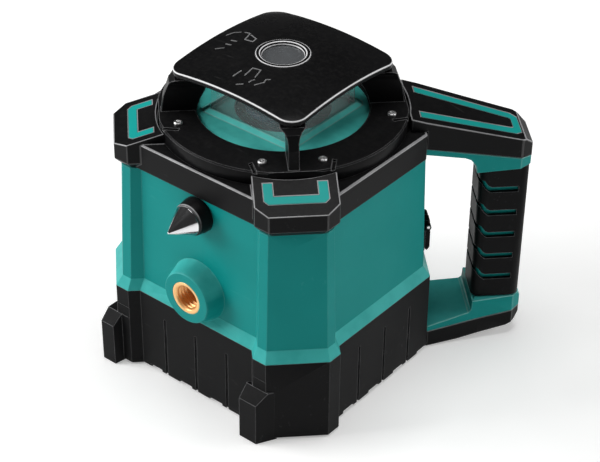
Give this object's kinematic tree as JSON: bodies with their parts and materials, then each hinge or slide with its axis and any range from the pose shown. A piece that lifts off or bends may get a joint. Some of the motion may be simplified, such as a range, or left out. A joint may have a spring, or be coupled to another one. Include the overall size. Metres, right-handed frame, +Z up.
{
  "type": "rotating laser level",
  "caption": "Self-levelling rotating laser level: square cased body on a rubber boot, glazed turret with spinning prism, corner carrying handle, tripod threads and keypad.",
  "frame": {"origin": "rotor axis at the underside of the base, in the mouth of the tripod thread", "axes": "+Z up along the rotor axis, -Y out of the face with the side thread and spike, handle along the +X +Y diagonal"},
  "size_m": [0.1821, 0.1951, 0.1854],
  "materials": {
    "boot_rubber": "satin moulded",
    "teal_plastic": "fine moulded texture",
    "teal_trim": "satin",
    "black_plastic": "satin moulded",
    "roof_plastic": "semi-gloss",
    "grip_rubber": "matt",
    "insert_brass": "turned",
    "screw_steel": "bright",
    "spike_chrome": "polished",
    "clear_glass": "clear",
    "optic_glass": "coated",
    "rotor_black": "anodised dark",
    "cast_alloy": "cast",
    "module_brass": "turned",
    "bearing_steel": "ground",
    "motor_case": "plated",
    "plunger_steel": "ground",
    "belt_rubber": "matt",
    "board_green": "lacquered",
    "panel_black": "semi-gloss",
    "overlay_grey": "film",
    "key_rubber": "matt",
    "lamp_lens": "translucent",
    "receiver_red": "dark translucent",
    "cell_wrap": "shrink wrap",
    "contact_plate": "nickel plated"
  },
  "bodies": {
    "housing": {"base_boot": "boot_rubber", "body_shell": "teal_plastic", "deck_plate": "teal_plastic", "handle_frame": "teal_plastic", "corner_inlays": "teal_trim", "handle_inlay": "teal_trim", "top_frame": "black_plastic", "turret_ring": "black_plastic", "handle_top_cover": "black_plastic", "handle_lower_cover": "black_plastic", "bottom_plate": "black_plastic", "spike_socket": "black_plastic", "charging_port": "black_plastic", "battery_tray": "black_plastic", "turret_roof": "roof_plastic", "roof_window_ring": "roof_plastic", "handle_grip": "grip_rubber", "side_thread_insert": "insert_brass", "tripod_thread_insert": "insert_brass", "turret_screws": "screw_steel", "base_screws": "screw_steel", "battery_door_pin": "screw_steel", "charging_flap_pin": "screw_steel", "gimbal_outer_pins": "screw_steel", "centring_spike": "spike_chrome", "glass_panes": "clear_glass", "roof_window": "clear_glass", "chassis": "cast_alloy", "levelling_drives": "motor_case", "main_board": "board_green", "keypad_board": "board_green", "panel_bezel": "panel_black", "panel_overlay": "overlay_grey", "panel_lamps": "lamp_lens", "receiver_window": "receiver_red", "battery_cells": "cell_wrap", "battery_contacts": "contact_plate"},
    "battery_door_leaf": {"battery_door": "black_plastic"},
    "charging_flap_leaf": {"charging_flap": "grip_rubber"},
    "gimbal": {"gimbal_ring": "cast_alloy"},
    "carrier": {"laser_carrier": "cast_alloy", "gimbal_inner_pins": "screw_steel", "laser_module": "module_brass", "collimating_lens": "optic_glass", "rotor_bearings": "bearing_steel", "spin_motor": "motor_case", "motor_bracket": "cast_alloy", "drive_belt": "belt_rubber"},
    "rotor": {"rotor_hub": "rotor_black", "prism_housing": "rotor_black", "penta_prism": "optic_glass"},
    "motor_shaft": {"motor_pulley": "screw_steel"},
    "plunger_x": {"levelling_plunger_x": "plunger_steel"},
    "plunger_y": {"levelling_plunger_y": "plunger_steel"},
    "power_key_cap": {"power_key": "key_rubber"},
    "speed_key_cap": {"speed_key": "key_rubber"},
    "scan_key_cap": {"scan_key": "key_rubber"},
    "mode_key_cap": {"mode_key": "key_rubber"},
    "left_key_cap": {"left_key": "key_rubber"},
    "right_key_cap": {"right_key": "key_rubber"}
  },
  "joints": [
    {"name": "rotor_spin", "type": "hinge", "parent": "carrier", "child": "rotor", "pos_m": [0, 0, 0.15], "axis": [0, 0, 1], "continuous": true},
    {"name": "motor_spin", "type": "hinge", "parent": "carrier", "child": "motor_shaft", "pos_m": [-0.028, 0, 0.14], "axis": [0, 0, 1], "continuous": true},
    {"name": "tilt_x", "type": "hinge", "parent": "housing", "child": "gimbal", "pos_m": [0, 0, 0.115], "axis": [1, 0, 0], "range_deg": [-5, 5]},
    {"name": "tilt_y", "type": "hinge", "parent": "gimbal", "child": "carrier", "pos_m": [0, 0, 0.115], "axis": [0, 1, 0], "range_deg": [-5, 5]},
    {"name": "plunger_x_travel", "type": "slide", "parent": "housing", "child": "plunger_x", "axis": [0, 0, 1], "range_m": [-0.00436, 0.00436]},
    {"name": "plunger_y_travel", "type": "slide", "parent": "housing", "child": "plunger_y", "axis": [0, 0, 1], "range_m": [-0.00436, 0.00436]},
    {"name": "battery_door_hinge", "type": "hinge", "parent": "housing", "child": "battery_door_leaf", "pos_m": [-0.072, 0.0336, 0.084], "axis": [0, 0, -1], "range_deg": [0, 105]},
    {"name": "charging_flap_hinge", "type": "hinge", "parent": "housing", "child": "charging_flap_leaf", "pos_m": [0.05756, 0.05756, 0.0742], "axis": [0.7071, -0.7071, 0], "range_deg": [0, 95]},
    {"name": "power_key_press", "type": "slide", "parent": "housing", "child": "power_key_cap", "axis": [0, -1, 0], "range_m": [0, 0.0008], "stiffness_N_per_m": 600},
    {"name": "speed_key_press", "type": "slide", "parent": "housing", "child": "speed_key_cap", "axis": [0, -1, 0], "range_m": [0, 0.0008], "stiffness_N_per_m": 600},
    {"name": "scan_key_press", "type": "slide", "parent": "housing", "child": "scan_key_cap", "axis": [0, -1, 0], "range_m": [0, 0.0008], "stiffness_N_per_m": 600},
    {"name": "mode_key_press", "type": "slide", "parent": "housing", "child": "mode_key_cap", "axis": [0, -1, 0], "range_m": [0, 0.0008], "stiffness_N_per_m": 600},
    {"name": "left_key_press", "type": "slide", "parent": "housing", "child": "left_key_cap", "axis": [0, -1, 0], "range_m": [0, 0.0008], "stiffness_N_per_m": 600},
    {"name": "right_key_press", "type": "slide", "parent": "housing", "child": "right_key_cap", "axis": [0, -1, 0], "range_m": [0, 0.0008], "stiffness_N_per_m": 600}
  ],
  "couplings": [
    {"joint": "motor_spin", "follows": "rotor_spin", "ratio": 3},
    {"joint": "plunger_y_travel", "follows": "tilt_x", "m_per_rad": 0.05},
    {"joint": "plunger_x_travel", "follows": "tilt_y", "m_per_rad": -0.05}
  ]
}
